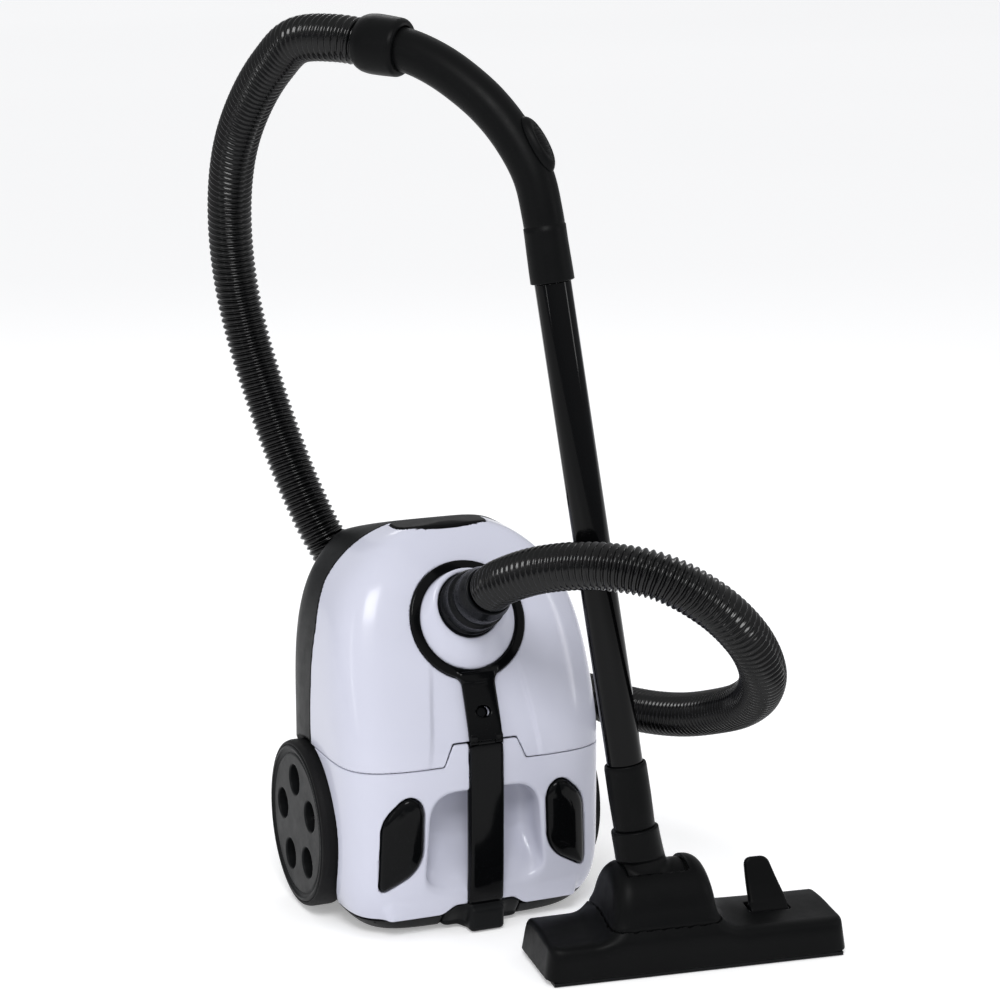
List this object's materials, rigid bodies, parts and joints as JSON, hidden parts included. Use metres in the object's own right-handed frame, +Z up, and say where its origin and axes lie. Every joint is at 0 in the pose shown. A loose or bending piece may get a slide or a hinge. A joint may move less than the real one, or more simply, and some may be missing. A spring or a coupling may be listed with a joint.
{
  "type": "canister vacuum cleaner",
  "caption": "Bagged canister vacuum cleaner parked upright on its end, with ribbed hose, straight extension tube, bent handle and hinged floor head.",
  "frame": {"origin": "on the floor, under the middle of the upright canister's end", "axes": "+Z up, -Y the lid side that faces the parked wand, +Y the underside that rolls on the floor, +X the right seen from the lid side"},
  "size_m": [0.4474, 0.534, 0.824],
  "materials": {
    "white_plastic": "gloss",
    "dark_plastic": "satin",
    "black_gloss": "high gloss",
    "grey_plastic": "satin",
    "black_rubber": "matte",
    "steel": "brushed",
    "tube_enamel": "gloss black enamel",
    "bag_fleece": "fleece",
    "filter_foam": "foam",
    "alloy": "cast",
    "bristle": "bristle"
  },
  "bodies": {
    "canister": {"base_shell": "dark_plastic", "rear_cover": "white_plastic", "carry_handle": "black_gloss", "rear_bumper": "dark_plastic", "power_pedal_spring": "steel", "rewind_pedal_spring": "steel", "cord_outlet": "black_rubber", "motor_housing": "steel", "motor_seat": "black_rubber", "motor_platform": "dark_plastic", "motor_filter": "filter_foam", "filter_frame": "dark_plastic", "exhaust_grille": "dark_plastic", "exhaust_filter": "filter_foam", "reel_axle": "steel", "power_switch": "grey_plastic", "dust_bag": "bag_fleece", "bag_plate": "bag_fleece", "lid_hinge_pin": "steel", "wheel_axle_left": "steel", "wheel_axle_right": "steel", "hose_back": "black_rubber"},
    "lid": {"lid_shell": "white_plastic", "ring_trim": "black_gloss", "upper_band": "black_gloss", "inlet_socket": "grey_plastic", "inlet_seal": "black_rubber", "hose_front": "black_rubber"},
    "lid_catch": {"lid_latch": "dark_plastic"},
    "bag_gauge": {"bag_full_float": "grey_plastic"},
    "cuff": {"hose_cuff": "grey_plastic"},
    "power_button": {"power_pedal": "black_gloss"},
    "rewind_button": {"rewind_pedal": "black_gloss"},
    "fan": {"motor_fan": "alloy"},
    "reel": {"cord_reel": "dark_plastic"},
    "left_wheel": {"wheel_left": "dark_plastic", "wheel_tread_left": "black_rubber"},
    "right_wheel": {"wheel_right": "dark_plastic", "wheel_tread_right": "black_rubber"},
    "caster": {"caster_fork": "grey_plastic", "caster_axle": "steel"},
    "caster_roller": {"caster_wheel": "black_rubber"},
    "wand": {"extension_tube": "tube_enamel", "handle_grip": "dark_plastic", "neck_socket": "grey_plastic", "hose_upper": "black_rubber"},
    "hose_end": {"handle_collar": "dark_plastic"},
    "bleed_slider": {"suction_slider": "dark_plastic"},
    "neck": {"elbow": "grey_plastic"},
    "floor_head": {"head_shell": "dark_plastic", "head_hood": "dark_plastic", "sole_plate": "dark_plastic", "rocker_pin": "steel", "roller_pin_left": "steel", "roller_pin_right": "steel"},
    "rocker": {"foot_rocker": "dark_plastic"},
    "front_bristles": {"brush_front": "bristle"},
    "rear_bristles": {"brush_rear": "bristle"},
    "left_roller": {"roller_left": "black_rubber"},
    "right_roller": {"roller_right": "black_rubber"}
  },
  "joints": [
    {"name": "lid_hinge", "type": "hinge", "parent": "canister", "child": "lid", "pos_m": [0, -0.0937, 0.18], "axis": [1, 0, 0], "range_deg": [0, 40]},
    {"name": "latch_press", "type": "slide", "parent": "lid", "child": "lid_catch", "axis": [0, 0, -1], "range_m": [0, 0.0025], "stiffness_N_per_m": 400, "springref_m": -0.001},
    {"name": "bag_gauge_travel", "type": "slide", "parent": "lid", "child": "bag_gauge", "axis": [0, 0.9184, -0.3955], "range_m": [0, 0.008], "stiffness_N_per_m": 20, "springref_m": -0.001},
    {"name": "cuff_swivel", "type": "hinge", "parent": "lid", "child": "cuff", "pos_m": [0, -0.0554, 0.299], "axis": [0, -0.891, 0.454], "continuous": true},
    {"name": "power_press", "type": "slide", "parent": "canister", "child": "power_button", "axis": [0, 1, 0], "range_m": [0, 0.003], "stiffness_N_per_m": 400, "springref_m": -0.001},
    {"name": "rewind_press", "type": "slide", "parent": "canister", "child": "rewind_button", "axis": [0, 1, 0], "range_m": [0, 0.003], "stiffness_N_per_m": 400, "springref_m": -0.001},
    {"name": "fan_spin", "type": "hinge", "parent": "canister", "child": "fan", "pos_m": [0, 0.034, 0.11], "axis": [0, 0, 1], "continuous": true},
    {"name": "reel_spin", "type": "hinge", "parent": "canister", "child": "reel", "pos_m": [-0.028, 0.04, 0.038], "axis": [0, 0, 1], "continuous": true},
    {"name": "left_wheel_roll", "type": "hinge", "parent": "canister", "child": "left_wheel", "pos_m": [-0.126, 0.034, 0.0805], "axis": [1, 0, 0], "continuous": true},
    {"name": "right_wheel_roll", "type": "hinge", "parent": "canister", "child": "right_wheel", "pos_m": [0.126, 0.034, 0.0805], "axis": [1, 0, 0], "continuous": true},
    {"name": "caster_swivel", "type": "hinge", "parent": "canister", "child": "caster", "pos_m": [0, 0.09, 0.31], "axis": [0, 1, 0], "continuous": true},
    {"name": "caster_roll", "type": "hinge", "parent": "caster", "child": "caster_roller", "pos_m": [0, 0.112, 0.299], "axis": [1, 0, 0], "continuous": true},
    {"name": "wand_lift", "type": "slide", "parent": "canister", "child": "wand", "axis": [-0.11, 0.1288, 0.9856], "range_m": [0, 0.04]},
    {"name": "hose_end_swivel", "type": "hinge", "parent": "wand", "child": "hose_end", "pos_m": [-0.06749, -0.01081, 0.798], "axis": [-0.6463, 0.7556, 0.1065], "continuous": true},
    {"name": "bleed_slide", "type": "slide", "parent": "wand", "child": "bleed_slider", "axis": [-0.3369, 0.3939, 0.8552], "range_m": [0, 0.012]},
    {"name": "neck_swivel", "type": "hinge", "parent": "wand", "child": "neck", "pos_m": [0.09, -0.195, 0.179], "axis": [-0.11, 0.1288, 0.9856], "range_deg": [-30, 15]},
    {"name": "head_tilt", "type": "hinge", "parent": "neck", "child": "floor_head", "pos_m": [0.11145, -0.20632, 0.06], "axis": [0.9928, -0.1201, 0], "range_deg": [-3, 40]},
    {"name": "rocker_tilt", "type": "hinge", "parent": "floor_head", "child": "rocker", "pos_m": [0.22017, -0.22351, 0.032], "axis": [0.9928, -0.1201, 0], "range_deg": [0, 12]},
    {"name": "front_bristle_drop", "type": "slide", "parent": "floor_head", "child": "front_bristles", "axis": [0, 0, -1], "range_m": [0, 0.0041]},
    {"name": "rear_bristle_drop", "type": "slide", "parent": "floor_head", "child": "rear_bristles", "axis": [0, 0, -1], "range_m": [0, 0.0041]},
    {"name": "left_roller_roll", "type": "hinge", "parent": "floor_head", "child": "left_roller", "pos_m": [0.04258, -0.16777, 0.0074], "axis": [0.9928, -0.1201, 0], "continuous": true},
    {"name": "right_roller_roll", "type": "hinge", "parent": "floor_head", "child": "right_roller", "pos_m": [0.24907, -0.19276, 0.0074], "axis": [0.9928, -0.1201, 0], "continuous": true}
  ],
  "couplings": [
    {"joint": "front_bristle_drop", "follows": "rocker_tilt", "m_per_rad": 0.0191},
    {"joint": "rear_bristle_drop", "follows": "rocker_tilt", "m_per_rad": 0.0191}
  ]
}
